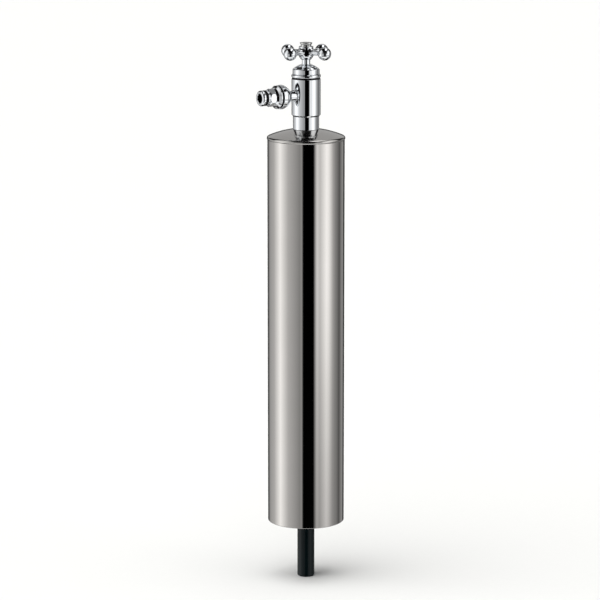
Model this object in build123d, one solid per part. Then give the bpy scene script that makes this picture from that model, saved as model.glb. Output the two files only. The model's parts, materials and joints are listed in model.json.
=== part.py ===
"""Garden standpipe: a round stainless column with a cross-handle tap on top.

Lengths are in millimetres. The origin is the centre of the column's bottom edge, +Z is up, and the tap's
outlet points along -Y. The tap is drawn closed, which is where its handle is lowest.
"""

import os
from math import asin, cos, pi, radians, sin, sqrt

from build123d import *

# Column
column_diameter = 80.0
column_wall = 1.0
column_height = 405.0
column_lip_round = 0.35

# Cap pressed into the column
cap_wall = 1.0
cap_crown_radius = 101.0
cap_bead_overhang = 0.6
cap_bead_height = 1.9
cap_edge_radius = 2.3
cap_skirt_depth = 8.0
cap_hole_clearance = 0.4

# Plug in the foot of the column
plug_recess = 1.0
plug_height = 12.0
plug_ring_wall = 2.5
plug_web_thickness = 3.0
plug_rib_thickness = 2.0
plug_rib_count = 6
plug_pipe_clearance = 1.0
plug_hub_wall = 3.0

# Supply pipe and the fitting at its top
pipe_diameter = 18.0
pipe_wall = 2.5
pipe_stub_length = 61.5
pipe_end_chamfer = 1.0
clip_width = 3.0
clip_thickness = 1.6
clip_groove_depth = 0.6
clip_opening_angle = 70.0
fitting_wall = 3.5
fitting_depth = 26.0
fitting_stop_height = 2.0
fitting_collar_height = 18.0
fitting_edge_round = 0.8
insert_wall = 3.0
insert_lip_height = 2.0
insert_lip_overhang = 1.5

# Tap body
body_diameter = 30.0
body_height = 38.4
body_foot_height = 1.5
body_foot_inset = 1.4
shank_diameter = 20.8
shank_length = 44.7
shank_end_chamfer = 0.8
shank_engagement = 15.0
waterway_diameter = 13.0
chamber_diameter = 18.0
seat_bore_diameter = 11.2
seat_lip_width = 1.6
seat_lip_height = 1.5
seat_height = 10.3

# Sleeve, gasket, washer and nut that hold the tap in the cap
sleeve_diameter = 27.0
sleeve_height = 13.6
sleeve_edge_chamfer = 0.4
sleeve_bore_clearance = 0.3
sleeve_gasket_thickness = 1.5
sleeve_gasket_width = 1.8
cap_washer_inset = 0.6
cap_washer_thickness = 2.0
cap_washer_clearance = 0.3
locknut_width = 27.0
locknut_height = 8.5

# Outlet, measured along its axis from the body's axis
outlet_height = 21.5
neck_diameter = 11.0
neck_bore_diameter = 7.6
neck_root_diameter = 14.0
neck_root_length = 3.5
bell_diameter = 25.0
bell_start = 19.3
bell_dome_length = 10.2
bell_reach = 33.3
bell_edge_chamfer = 0.4
outlet_thread_diameter = 20.8
outlet_thread_depth = 7.0

# Hose nipple and its seals
outlet_gasket_thickness = 2.0
outlet_gasket_overhang = 0.9
nipple_thread_length = 8.0
nipple_bore_diameter = 9.5
nipple_shoulder_diameter = 24.0
nipple_shoulder_length = 1.1
nipple_cone_length = 1.8
nipple_cone_diameter = 19.6
nipple_neck_diameter = 17.4
nipple_neck_length = 2.2
nipple_hex_width = 16.6
nipple_hex_length = 6.5
nipple_hex_turned_diameter = 18.6
nipple_flange_gap = 0.6
nipple_flange_gap_diameter = 14.4
nipple_spigot_diameter = 16.2
nipple_flange_length = 1.8
nipple_ring_groove_length = 3.2
nipple_ring_section = 2.8
nipple_ring_inset = 0.05
nipple_land_length = 1.6
nipple_nose_round = 1.9
nipple_mouth_chamfer = 0.5

# Bonnet, domed gland nut and the seals on the spindle
bonnet_gasket_thickness = 1.3
bonnet_gasket_inset = 0.5
bonnet_thread_diameter = 23.0
bonnet_thread_length = 12.4
bonnet_floor_gap = 0.5
bonnet_bead_diameter = 30.2
bonnet_bead_height = 3.7
bonnet_neck_diameter = 20.8
bonnet_neck_height = 5.0
stuffing_box_diameter = 14.8
stuffing_box_depth = 2.5
packing_washer_thickness = 1.2
packing_height = 4.2
gland_ring_height = 2.6
gland_nut_diameter = 27.8
gland_nut_skirt_height = 4.4
gland_nut_height = 10.2
gland_nut_shoulder_width = 0.7
gland_nut_shoulder_height = 1.1
gland_nut_crown_bulge = 0.45
gland_nut_top_width = 0.5

# Spindle and the loose valve it lifts
spindle_diameter = 8.5
spindle_running_clearance = 0.05
spindle_thread_diameter = 12.9
spindle_thread_top_gap = 1.1
spindle_thread_length = 13.5
spindle_foot_diameter = 10.4
spindle_shoulder_inset = 1.7
spindle_square_gap = 0.4
valve_lift = 3.0
jumper_stem_diameter = 6.0
jumper_stem_length = 9.0
jumper_stem_clearance = 0.05
jumper_disc_diameter = 14.4
jumper_disc_height = 3.5
jumper_washer_diameter = 13.4
jumper_washer_height = 3.5
jumper_tail_diameter = 3.2
jumper_nut_width = 6.6
jumper_nut_height = 2.4

# Cross handle, its screw and the button that covers it
handle_rest_angle = 17.3
handle_arm_count = 4
handle_clearance = 4.5
hub_height = 13.8
hub_foot_diameter = 9.4
hub_belly_diameter = 15.8
hub_belly_height = 6.6
hub_top_diameter = 14.9
hub_top_chamfer = 0.5
arm_height = 7.6
arm_reach = 24.8
arm_root_reach = 6.2
arm_root_diameter = 10.0
arm_waist_reach = 12.4
arm_waist_diameter = 4.8
arm_tip_diameter = 8.2
ball_diameter = 13.6
screw_thread_diameter = 4.0
screw_length = 9.0
screw_head_diameter = 7.2
screw_head_height = 2.2
screw_slot_width = 1.0
screw_slot_depth = 0.8
button_plug_diameter = 10.0
button_plug_clearance = 0.05
button_plug_wall = 1.0
button_plug_length = 1.6
button_neck_diameter = 11.0
button_neck_height = 2.9
button_disc_diameter = 12.7
button_disc_height = 1.0
button_disc_round = 0.3
button_head_gap = 0.6

# Shares of the sizes above
square_drive_share = 0.7
hex_chamfer_share = 0.08
bead_round_share = 0.3

# Overrun of a cutting tool past the face that it leaves
overrun = 1.0


# Radii and heights that several pieces share
column_radius = column_diameter / 2
column_bore_radius = column_radius - column_wall
shank_radius = shank_diameter / 2
pipe_radius = pipe_diameter / 2
body_radius = body_diameter / 2
spindle_radius = spindle_diameter / 2
spindle_hole_radius = spindle_radius + spindle_running_clearance

# The cap's crown is a sphere centred on the axis, tangent to a rounded edge whose widest point is the bead
bead_radius = column_radius + cap_bead_overhang
bead_z = column_height + cap_bead_height
edge_centre_radius = bead_radius - cap_edge_radius
crown_offset = cap_crown_radius - cap_edge_radius
crown_centre_z = bead_z - sqrt(crown_offset**2 - edge_centre_radius**2)
seat_ring_radius = sleeve_diameter / 2 - sleeve_edge_chamfer
cap_top_z = crown_centre_z + sqrt(cap_crown_radius**2 - seat_ring_radius**2)
cap_under_z = cap_top_z - cap_wall

# Tap heights, from the cap up
body_z = cap_top_z + sleeve_height
body_top_z = body_z + body_height
shank_end_z = body_z - shank_length
seat_z = body_z + seat_height
chamber_floor_z = seat_z - seat_lip_height
outlet_z = body_z + outlet_height
bonnet_z = body_top_z + bonnet_gasket_thickness
bonnet_foot_z = bonnet_z - bonnet_thread_length
counterbore_z = bonnet_foot_z - bonnet_floor_gap
bonnet_bead_top_z = bonnet_z + bonnet_bead_height
stuffing_box_z = bonnet_bead_top_z - stuffing_box_depth
packing_z = stuffing_box_z + packing_washer_thickness
gland_ring_z = packing_z + packing_height
gland_ceiling_z = gland_ring_z + gland_ring_height
gland_top_z = bonnet_bead_top_z + gland_nut_height
hub_z = gland_top_z + handle_clearance
hub_top_z = hub_z + hub_height
button_recess_z = hub_top_z - button_plug_length - button_head_gap

# Heights of the loose valve, which rests on the seat, and of the spindle, which presses on it
jumper_disc_z = seat_z + jumper_washer_height
spindle_foot_z = jumper_disc_z + jumper_disc_height
spindle_thread_top_z = stuffing_box_z - valve_lift - spindle_thread_top_gap
spindle_thread_z = spindle_thread_top_z - spindle_thread_length
spindle_shoulder_z = hub_z + spindle_shoulder_inset
spindle_top_z = button_recess_z - spindle_square_gap
square_side = spindle_diameter * square_drive_share

# Heights of the supply pipe's pieces
fitting_top_z = shank_end_z + shank_engagement
insert_z = shank_end_z - shank_end_chamfer
fitting_collar_z = fitting_top_z - insert_lip_height - fitting_collar_height
pipe_top_z = insert_z - fitting_stop_height
fitting_foot_z = pipe_top_z - fitting_depth
plug_top_z = plug_recess + plug_height

# Places along the outlet's axis
gasket_start = bell_reach
shoulder_start = gasket_start + outlet_gasket_thickness
cone_start = shoulder_start + nipple_shoulder_length
nipple_neck_start = cone_start + nipple_cone_length
hex_start = nipple_neck_start + nipple_neck_length
hex_end = hex_start + nipple_hex_length
flange_start = hex_end + nipple_flange_gap
ring_groove_start = flange_start + nipple_flange_length
land_start = ring_groove_start + nipple_ring_groove_length
nose_start = land_start + nipple_land_length
nipple_tip = nose_start + nipple_nose_round
outlet_frame = Plane(origin=(0, 0, outlet_z), x_dir=(1, 0, 0), z_dir=(0, -1, 0))


def turned(outline):
    """Turn a closed outline, drawn as radius against height, about the vertical axis."""
    return revolve(make_face(Plane.XZ * outline), Axis.Z)


def turned_points(*points):
    """Turn a closed outline made of straight lines."""
    return turned(Polyline(*points, close=True))


def disc(radius, low, high):
    """A round bar between two heights."""
    return Pos(0, 0, low) * Cylinder(radius, high - low, align=(Align.CENTER, Align.CENTER, Align.MIN))


def ring(outer_radius, inner_radius, low, high):
    """A plain ring between two heights."""
    return disc(outer_radius, low, high) - disc(inner_radius, low - overrun, high + overrun)


def hex_bar(width, low, high):
    """A hexagonal bar between two heights, given its width across flats."""
    corner_radius = width / sqrt(3)
    return Pos(0, 0, low) * extrude(RegularPolygon(corner_radius, 6), high - low)


def chamfered_hex(width, turned_radius, low, high):
    """A hexagon whose corners are turned off at both ends, as a spanner face is."""
    lead = width * hex_chamfer_share
    flat_radius = width / 2
    cone = turned_points(
        (0, low),
        (flat_radius, low),
        (turned_radius, low + lead),
        (turned_radius, high - lead),
        (flat_radius, high),
        (0, high),
    )
    return hex_bar(width, low, high) & cone


def column_tube():
    """The open stainless tube, with its bottom edge eased."""
    tube = ring(column_radius, column_bore_radius, 0, column_height)
    return fillet(tube.edges().group_by(Axis.Z)[0], column_lip_round)


def column_cap():
    """The spun cap: a crown with a rounded bead on the tube's edge and a skirt pressed into its bore."""
    crown_angle = asin(edge_centre_radius / crown_offset)
    tangent_point = (
        cap_crown_radius * sin(crown_angle),
        crown_centre_z + cap_crown_radius * cos(crown_angle),
    )
    hole_radius = shank_radius + cap_hole_clearance
    inner_crown_radius = cap_crown_radius - cap_wall
    skirt_radius = column_bore_radius - cap_wall
    skirt_z = column_height - cap_skirt_depth
    skirt_top_z = crown_centre_z + sqrt(inner_crown_radius**2 - skirt_radius**2)
    inner_seat_radius = sqrt(inner_crown_radius**2 - (cap_under_z - crown_centre_z) ** 2)
    inner_middle_radius = (inner_seat_radius + skirt_radius) / 2
    inner_middle_z = crown_centre_z + sqrt(inner_crown_radius**2 - inner_middle_radius**2)
    outer_middle_radius = (seat_ring_radius + tangent_point[0]) / 2
    outer_middle_z = crown_centre_z + sqrt(cap_crown_radius**2 - outer_middle_radius**2)
    seat_edge = (seat_ring_radius, cap_top_z)
    bead_point = (bead_radius, bead_z)
    tube_edge = (column_radius, column_height)
    crown_direction = (cos(crown_angle), -sin(crown_angle))
    outline = (
        Line((hole_radius, cap_top_z), seat_edge)
        + ThreePointArc(seat_edge, (outer_middle_radius, outer_middle_z), tangent_point)
        + TangentArc(tangent_point, bead_point, tangent=crown_direction)
        + TangentArc(bead_point, tube_edge, tangent=(0, -1))
        + Polyline(
            tube_edge,
            (column_bore_radius, column_height),
            (column_bore_radius, skirt_z),
            (skirt_radius, skirt_z),
            (skirt_radius, skirt_top_z),
        )
        + ThreePointArc(
            (skirt_radius, skirt_top_z),
            (inner_middle_radius, inner_middle_z),
            (inner_seat_radius, cap_under_z),
        )
        + Polyline((inner_seat_radius, cap_under_z), (hole_radius, cap_under_z), (hole_radius, cap_top_z))
    )
    return turned(outline)


def foot_plug():
    """The moulded plug: a flat web with a rim, a hub and ribs standing on it, inside the column."""
    hub_bore = pipe_radius + plug_pipe_clearance
    hub_radius = hub_bore + plug_hub_wall
    rim_inner = column_bore_radius - plug_ring_wall
    rim = ring(column_bore_radius, rim_inner, plug_recess, plug_top_z)
    hub = ring(hub_radius, hub_bore, plug_recess, plug_top_z)
    web = ring(column_bore_radius, hub_bore, plug_recess, plug_recess + plug_web_thickness)
    middle = (hub_bore + column_bore_radius) / 2
    rib = Pos(middle, 0, plug_recess) * Box(
        rim_inner - hub_radius + plug_ring_wall,
        plug_rib_thickness,
        plug_height,
        align=(Align.CENTER, Align.CENTER, Align.MIN),
    )
    ribs = [Rot(0, 0, 360 / plug_rib_count * index) * rib for index in range(plug_rib_count)]
    return rim + hub + web + ribs


def riser_pipe():
    """The supply pipe, from the fitting down past the foot, with a groove for its clip."""
    pipe = ring(pipe_radius, pipe_radius - pipe_wall, -pipe_stub_length, pipe_top_z)
    pipe = chamfer(pipe.edges().group_by(Axis.Z)[0].sort_by(SortBy.LENGTH)[-1], pipe_end_chamfer)
    groove_top = plug_top_z + clip_thickness
    return pipe - ring(pipe_radius + overrun, pipe_radius - clip_groove_depth, plug_top_z, groove_top)


def pipe_clip():
    """An open spring ring in the pipe's groove, which rests on the plug's hub."""
    inner = pipe_radius - clip_groove_depth
    full = ring(inner + clip_width, inner, plug_top_z, plug_top_z + clip_thickness)
    half_opening = clip_opening_angle / 2
    reach = (inner + clip_width) * 2
    corner_y = reach * sin(radians(half_opening))
    corner_x = reach * cos(radians(half_opening))
    wedge = make_face(Polyline((0, 0), (corner_x, -corner_y), (corner_x, corner_y), close=True))
    opening = Pos(0, 0, plug_top_z - overrun) * extrude(wedge, clip_thickness + overrun * 2)
    return full - opening


def tap_socket():
    """The plastic fitting: a thick collar round the threaded insert, and a cup for the pipe below."""
    insert_radius = shank_radius + insert_wall
    collar_radius = insert_radius + fitting_wall
    cup_radius = pipe_radius + fitting_wall
    collar_top = fitting_top_z - insert_lip_height
    outer = disc(collar_radius, fitting_collar_z, collar_top) + disc(cup_radius, fitting_foot_z, collar_top)
    outer = fillet(outer.edges().filter_by(GeomType.CIRCLE).group_by(Axis.Z)[0], fitting_edge_round)
    bore = (
        disc(insert_radius, insert_z, collar_top + overrun)
        + disc(waterway_diameter / 2, pipe_top_z - overrun, insert_z + overrun)
        + disc(pipe_radius, fitting_foot_z - overrun, pipe_top_z)
    )
    return outer - bore


def socket_insert():
    """The brass bush moulded into the fitting, which the tap's shank screws into."""
    insert_radius = shank_radius + insert_wall
    collar_top = fitting_top_z - insert_lip_height
    bush = ring(insert_radius, shank_radius, insert_z, fitting_top_z)
    lip = ring(insert_radius + insert_lip_overhang, shank_radius, collar_top, fitting_top_z)
    return bush + lip


def tap_locknut():
    """The hexagon nut that pulls the sleeve down on the cap."""
    high = cap_under_z - cap_washer_thickness
    low = high - locknut_height
    corner = locknut_width / sqrt(3)
    turned_radius = corner - locknut_width * hex_chamfer_share / 2
    nut = chamfered_hex(locknut_width, turned_radius, low, high)
    return nut - disc(shank_radius, low - overrun, high + overrun)


def cap_washer():
    """The flat washer between the locknut and the cap."""
    low = cap_under_z - cap_washer_thickness
    outer = seat_ring_radius - cap_washer_inset
    return ring(outer, shank_radius + cap_washer_clearance, low, cap_under_z)


def sleeve_gasket():
    """The flat rubber ring in the sleeve's recess, which lies on the cap."""
    inner = shank_radius + sleeve_bore_clearance
    return ring(inner + sleeve_gasket_width, inner, cap_top_z, cap_top_z + sleeve_gasket_thickness)


def tap_sleeve():
    """The plated sleeve between the cap and the tap body."""
    outer = sleeve_diameter / 2
    bore = shank_radius + sleeve_bore_clearance
    recess = bore + sleeve_gasket_width
    recess_top = cap_top_z + sleeve_gasket_thickness
    ease = sleeve_edge_chamfer
    return turned_points(
        (recess, cap_top_z),
        (outer - ease, cap_top_z),
        (outer, cap_top_z + ease),
        (outer, body_z - ease),
        (outer - ease, body_z),
        (bore, body_z),
        (bore, recess_top),
        (recess, recess_top),
    )


def outlet_shell():
    """The outlet outside, along its own axis: flared root, straight neck, domed back and straight rim."""
    neck = neck_diameter / 2
    bell = bell_diameter / 2
    root = neck_root_diameter / 2
    root_start = sqrt(body_radius**2 - root**2) - overrun
    root_end = root_start + neck_root_length
    dome_end = bell_start + bell_dome_length
    # The domed back is a quarter of an ellipse, cut where it meets the neck
    full_dome = bell_dome_length / sqrt(1 - (neck / bell) ** 2)
    dome = EllipticalCenterArc(
        (0, dome_end),
        bell,
        full_dome,
        start_angle=0,
        arc_size=-asin(bell_dome_length / full_dome) * 180 / pi,
    )
    outline = (
        Line((0, 0), (root, 0))
        + Line((root, 0), (root, root_start))
        + TangentArc((neck, root_end), (root, root_start), tangent=(0, -1))
        + Line((neck, root_end), dome @ 1)
        + dome
        + Polyline(
            dome @ 0,
            (bell, bell_reach - bell_edge_chamfer),
            (bell - bell_edge_chamfer, bell_reach),
            (0, bell_reach),
            (0, 0),
        )
    )
    return outlet_frame * turned(outline)


def outlet_bore():
    """The outlet inside: a drilled neck, a cone and the threaded socket for the nipple."""
    neck = neck_bore_diameter / 2
    socket = outlet_thread_diameter / 2
    socket_start = bell_reach - outlet_thread_depth
    cone_length = socket_start - bell_start - neck / 2
    end = bell_reach + overrun
    return outlet_frame * turned_points(
        (0, 0),
        (neck, 0),
        (neck, socket_start - cone_length),
        (socket, socket_start),
        (socket, end),
        (0, end),
    )


def tap_body():
    """The body casting: barrel, threaded shank, outlet, valve chamber and seat."""
    foot = body_radius - body_foot_inset
    barrel = turned_points(
        (0, shank_end_z),
        (shank_radius - shank_end_chamfer, shank_end_z),
        (shank_radius, shank_end_z + shank_end_chamfer),
        (shank_radius, body_z),
        (foot, body_z),
        (body_radius, body_z + body_foot_height),
        (body_radius, body_top_z),
        (0, body_top_z),
    )
    waterway = waterway_diameter / 2
    seat_bore = seat_bore_diameter / 2
    chamber = chamber_diameter / 2
    counterbore = bonnet_thread_diameter / 2
    lip_root_z = chamber_floor_z - seat_lip_height
    inside = turned_points(
        (0, shank_end_z - overrun),
        (waterway, shank_end_z - overrun),
        (waterway, lip_root_z),
        (seat_bore, lip_root_z + (waterway - seat_bore)),
        (seat_bore, seat_z),
        (seat_bore + seat_lip_width, seat_z),
        (seat_bore + seat_lip_width, chamber_floor_z),
        (chamber, chamber_floor_z),
        (chamber, counterbore_z),
        (counterbore, counterbore_z),
        (counterbore, body_top_z + overrun),
        (0, body_top_z + overrun),
    )
    return barrel + outlet_shell() - inside - outlet_bore()


def bonnet_gasket():
    """The thin seal between body and bonnet, which shows as a dark line."""
    outer = body_radius - bonnet_gasket_inset
    return ring(outer, bonnet_thread_diameter / 2, body_top_z, bonnet_z)


def bonnet():
    """The bonnet: a thread into the body, a rounded bead, and a threaded neck with the stuffing box."""
    thread = bonnet_thread_diameter / 2
    bead = bonnet_bead_diameter / 2
    neck = bonnet_neck_diameter / 2
    bore = spindle_thread_diameter / 2 + spindle_running_clearance
    box = stuffing_box_diameter / 2
    neck_top = bonnet_bead_top_z + bonnet_neck_height
    rounding = bonnet_bead_height * bead_round_share
    bead_foot = (bead - rounding, bonnet_z)
    bead_head = (bead - rounding, bonnet_bead_top_z)
    bead_middle = (bead, (bonnet_z + bonnet_bead_top_z) / 2)
    outline = (
        Polyline(bead_head, (neck, bonnet_bead_top_z), (neck, neck_top), (box, neck_top))
        + Polyline((box, neck_top), (box, stuffing_box_z), (bore, stuffing_box_z), (bore, bonnet_foot_z))
        + Polyline((bore, bonnet_foot_z), (thread, bonnet_foot_z), (thread, bonnet_z), bead_foot)
        + ThreePointArc(bead_foot, bead_middle, bead_head)
    )
    return turned(outline)


def packing_washer():
    """The washer under the packing."""
    box = stuffing_box_diameter / 2
    return ring(box, spindle_hole_radius, stuffing_box_z, packing_z)


def gland_packing():
    """The rubber packing that seals the spindle."""
    box = stuffing_box_diameter / 2
    return ring(box, spindle_hole_radius, packing_z, gland_ring_z)


def gland_ring():
    """The brass follower that the gland nut presses on the packing."""
    box = stuffing_box_diameter / 2
    return ring(box, spindle_hole_radius, gland_ring_z, gland_ceiling_z)


def gland_nut():
    """The domed nut over the bonnet's neck, with the spindle coming out of its top."""
    skirt = gland_nut_diameter / 2
    shoulder_z = bonnet_bead_top_z + gland_nut_skirt_height
    crown_radius = skirt - gland_nut_shoulder_width
    crown_z = shoulder_z + gland_nut_shoulder_height
    top_radius = spindle_hole_radius + gland_nut_top_width
    neck = bonnet_neck_diameter / 2
    slope = Vector(top_radius - crown_radius, gland_top_z - crown_z)
    outward = Vector(slope.Y, -slope.X).normalized() * gland_nut_crown_bulge
    middle = Vector((top_radius + crown_radius) / 2, (gland_top_z + crown_z) / 2) + outward
    outline = (
        Polyline((neck, bonnet_bead_top_z), (skirt, bonnet_bead_top_z), (skirt, shoulder_z))
        + TangentArc((skirt, shoulder_z), (crown_radius, crown_z), tangent=(0, 1))
        + ThreePointArc((crown_radius, crown_z), (middle.X, middle.Y), (top_radius, gland_top_z))
        + Polyline((top_radius, gland_top_z), (spindle_hole_radius, gland_top_z))
        + Polyline((spindle_hole_radius, gland_top_z), (spindle_hole_radius, gland_ceiling_z))
        + Polyline((spindle_hole_radius, gland_ceiling_z), (neck, gland_ceiling_z), (neck, bonnet_bead_top_z))
    )
    return turned(outline)


def outlet_gasket():
    """The rubber ring between the bell's rim and the nipple's shoulder."""
    thread = outlet_thread_diameter / 2
    return outlet_frame * ring(thread + outlet_gasket_overhang, thread, gasket_start, shoulder_start)


def hose_nipple():
    """The nipple: thread, shoulder, spanner hexagon, and the spigot that a hose connector is pushed on."""
    thread = outlet_thread_diameter / 2
    thread_start = shoulder_start - nipple_thread_length
    shoulder = nipple_shoulder_diameter / 2
    cone = nipple_cone_diameter / 2
    neck = nipple_neck_diameter / 2
    gap = nipple_flange_gap_diameter / 2
    spigot = nipple_spigot_diameter / 2
    groove = spigot - nipple_ring_inset - nipple_ring_section
    nose = spigot - nipple_nose_round
    bore = nipple_bore_diameter / 2
    mouth = bore + nipple_mouth_chamfer
    back = turned_points(
        (bore, thread_start),
        (thread - shank_end_chamfer, thread_start),
        (thread, thread_start + shank_end_chamfer),
        (thread, shoulder_start),
        (shoulder, shoulder_start),
        (shoulder, cone_start),
        (cone, nipple_neck_start),
        (neck, hex_start),
        (bore, hex_start),
    )
    hexagon = chamfered_hex(nipple_hex_width, nipple_hex_turned_diameter / 2, hex_start, hex_end)
    hexagon = hexagon - disc(bore, hex_start - overrun, hex_end + overrun)
    spigot_outline = Polyline(
        (nose, nipple_tip),
        (mouth, nipple_tip),
        (bore, nipple_tip - nipple_mouth_chamfer),
        (bore, hex_end),
        (gap, hex_end),
        (gap, flange_start),
        (spigot, flange_start),
        (spigot, ring_groove_start),
        (groove, ring_groove_start),
        (groove, land_start),
        (spigot, land_start),
        (spigot, nose_start),
    ) + TangentArc((spigot, nose_start), (nose, nipple_tip), tangent=(0, 1))
    return outlet_frame * (back + hexagon + turned(spigot_outline))


def nipple_o_ring():
    """The rubber ring in the spigot's groove."""
    section_radius = nipple_ring_section / 2
    centre_radius = nipple_spigot_diameter / 2 - nipple_ring_inset - section_radius
    middle = (ring_groove_start + land_start) / 2
    return outlet_frame * Pos(0, 0, middle) * Torus(centre_radius, section_radius)


def jumper_valve():
    """The loose valve: a stem that hangs in the spindle, a disc, and a tail for the washer and nut."""
    disc_top = jumper_disc_z + jumper_disc_height
    tail_z = seat_z - jumper_nut_height
    return (
        disc(jumper_stem_diameter / 2, disc_top, disc_top + jumper_stem_length)
        + disc(jumper_disc_diameter / 2, jumper_disc_z, disc_top)
        + disc(jumper_tail_diameter / 2, tail_z, jumper_disc_z)
    )


def jumper_washer():
    """The rubber washer that closes the seat."""
    return ring(jumper_washer_diameter / 2, jumper_tail_diameter / 2, seat_z, jumper_disc_z)


def jumper_nut():
    """The small nut that holds the washer on the valve."""
    low = seat_z - jumper_nut_height
    bore = disc(jumper_tail_diameter / 2, low - overrun, seat_z + overrun)
    return hex_bar(jumper_nut_width, low, seat_z) - bore


def spindle():
    """The spindle: socket for the loose valve, lifting thread, round stem and square drive."""
    foot = spindle_foot_diameter / 2
    thread = spindle_thread_diameter / 2
    socket_radius = jumper_stem_diameter / 2 + jumper_stem_clearance
    socket_top = spindle_foot_z + jumper_stem_length + overrun
    shaft = (
        disc(foot, spindle_foot_z, spindle_thread_z)
        + disc(thread, spindle_thread_z, spindle_thread_top_z)
        + disc(spindle_radius, spindle_thread_top_z, spindle_shoulder_z)
    )
    square = Pos(0, 0, spindle_shoulder_z) * Box(
        square_side,
        square_side,
        spindle_top_z - spindle_shoulder_z,
        align=(Align.CENTER, Align.CENTER, Align.MIN),
    )
    square = Rot(0, 0, handle_rest_angle) * square
    screw_foot = button_recess_z - screw_length
    tapped = disc(screw_thread_diameter / 2, screw_foot, spindle_top_z + overrun)
    return shaft + square - disc(socket_radius, spindle_foot_z - overrun, socket_top) - tapped


def handle_arm():
    """One arm along +X: a waisted bar that widens into a ball."""
    root = arm_root_diameter / 2
    tip_radius = arm_tip_diameter / 2
    ball = ball_diameter / 2
    tip_reach = arm_reach - sqrt(ball**2 - tip_radius**2)
    outline = (
        Polyline((0, 0), (root, 0), (root, arm_root_reach))
        + ThreePointArc(
            (root, arm_root_reach),
            (arm_waist_diameter / 2, arm_waist_reach),
            (tip_radius, tip_reach),
        )
        + Polyline((tip_radius, tip_reach), (tip_radius, arm_reach), (0, arm_reach), (0, 0))
    )
    bar = turned(outline) + Pos(0, 0, arm_reach) * Sphere(ball)
    return Rot(0, 90, 0) * bar


def cross_handle():
    """The cast handle: a bellied hub with four arms, broached for the spindle and recessed for the button."""
    foot = hub_foot_diameter / 2
    belly = hub_belly_diameter / 2
    top = hub_top_diameter / 2
    belly_z = hub_z + hub_belly_height
    recess = button_plug_diameter / 2 + button_plug_clearance
    foot_point = (foot, hub_z)
    belly_point = (belly, belly_z)
    top_point = (top, hub_top_z - hub_top_chamfer)
    outline = (
        Line((0, hub_z), foot_point)
        + TangentArc(belly_point, foot_point, tangent=(0, -1))
        + TangentArc(belly_point, top_point, tangent=(0, 1))
        + Polyline(top_point, (top - hub_top_chamfer, hub_top_z), (0, hub_top_z), (0, hub_z))
    )
    hub = turned(outline)
    arm = Pos(0, 0, hub_z + arm_height) * handle_arm()
    arms = [Rot(0, 0, 360 / handle_arm_count * index) * arm for index in range(handle_arm_count)]
    square = Pos(0, 0, spindle_shoulder_z) * Box(
        square_side,
        square_side,
        hub_height,
        align=(Align.CENTER, Align.CENTER, Align.MIN),
    )
    bores = (
        disc(spindle_radius, hub_z - overrun, spindle_shoulder_z)
        + square
        + disc(recess, button_recess_z, hub_top_z + overrun)
    )
    return Rot(0, 0, handle_rest_angle) * (hub + arms - bores)


def handle_screw():
    """The screw that holds the handle on the spindle."""
    head_top = button_recess_z + screw_head_height
    head = disc(screw_head_diameter / 2, button_recess_z, head_top)
    thread = disc(screw_thread_diameter / 2, button_recess_z - screw_length, button_recess_z)
    slot = Pos(0, 0, head_top) * Box(screw_head_diameter, screw_slot_width, screw_slot_depth * 2)
    return head + thread - slot


def index_button():
    """The flared button that plugs into the top of the hub and hides the screw."""
    plug = button_plug_diameter / 2
    neck = button_neck_diameter / 2
    rim = button_disc_diameter / 2
    hollow = plug - button_plug_wall
    plug_z = hub_top_z - button_plug_length
    disc_z = hub_top_z + button_neck_height
    top_z = disc_z + button_disc_height
    ease = button_disc_round
    return turned_points(
        (hollow, plug_z),
        (plug, plug_z),
        (plug, hub_top_z),
        (neck, hub_top_z),
        (neck, hub_top_z + button_neck_height / 2),
        (rim, disc_z),
        (rim, top_z - ease),
        (rim - ease, top_z),
        (0, top_z),
        (0, hub_top_z + button_head_gap),
        (hollow, hub_top_z + button_head_gap),
    )


pieces = [
    column_tube,
    column_cap,
    foot_plug,
    riser_pipe,
    pipe_clip,
    tap_socket,
    socket_insert,
    tap_locknut,
    cap_washer,
    sleeve_gasket,
    tap_sleeve,
    tap_body,
    bonnet_gasket,
    bonnet,
    packing_washer,
    gland_packing,
    gland_ring,
    gland_nut,
    outlet_gasket,
    hose_nipple,
    nipple_o_ring,
    jumper_valve,
    jumper_washer,
    jumper_nut,
    spindle,
    cross_handle,
    handle_screw,
    index_button,
]

os.makedirs("parts", exist_ok=True)
for piece in pieces:
    export_step(piece(), f"parts/{piece.__name__}.step")
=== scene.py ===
"""Garden standpipe: the finish of its polished stainless column and of the chrome-plated tap on top.

Lengths are in metres, in the part's own frame: +Z is up the column and the outlet points along -Y.
"""

import json
import math

import bmesh
import bpy
from mathutils import Matrix, Vector


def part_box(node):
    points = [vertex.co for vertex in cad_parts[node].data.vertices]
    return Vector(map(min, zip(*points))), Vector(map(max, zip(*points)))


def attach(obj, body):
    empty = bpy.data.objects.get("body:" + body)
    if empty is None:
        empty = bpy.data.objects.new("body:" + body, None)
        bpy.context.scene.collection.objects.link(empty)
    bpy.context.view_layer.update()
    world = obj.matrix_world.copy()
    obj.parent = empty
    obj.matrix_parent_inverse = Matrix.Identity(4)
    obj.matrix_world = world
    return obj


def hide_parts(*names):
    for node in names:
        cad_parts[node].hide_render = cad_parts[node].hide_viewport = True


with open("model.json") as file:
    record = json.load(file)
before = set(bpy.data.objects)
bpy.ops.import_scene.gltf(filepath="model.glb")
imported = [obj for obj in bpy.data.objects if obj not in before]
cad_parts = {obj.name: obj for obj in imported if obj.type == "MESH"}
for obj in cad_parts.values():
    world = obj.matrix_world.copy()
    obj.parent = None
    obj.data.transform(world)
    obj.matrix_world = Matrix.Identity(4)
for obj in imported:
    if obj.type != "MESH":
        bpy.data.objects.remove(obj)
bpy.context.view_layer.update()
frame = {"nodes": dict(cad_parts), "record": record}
mm = 0.001


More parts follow.
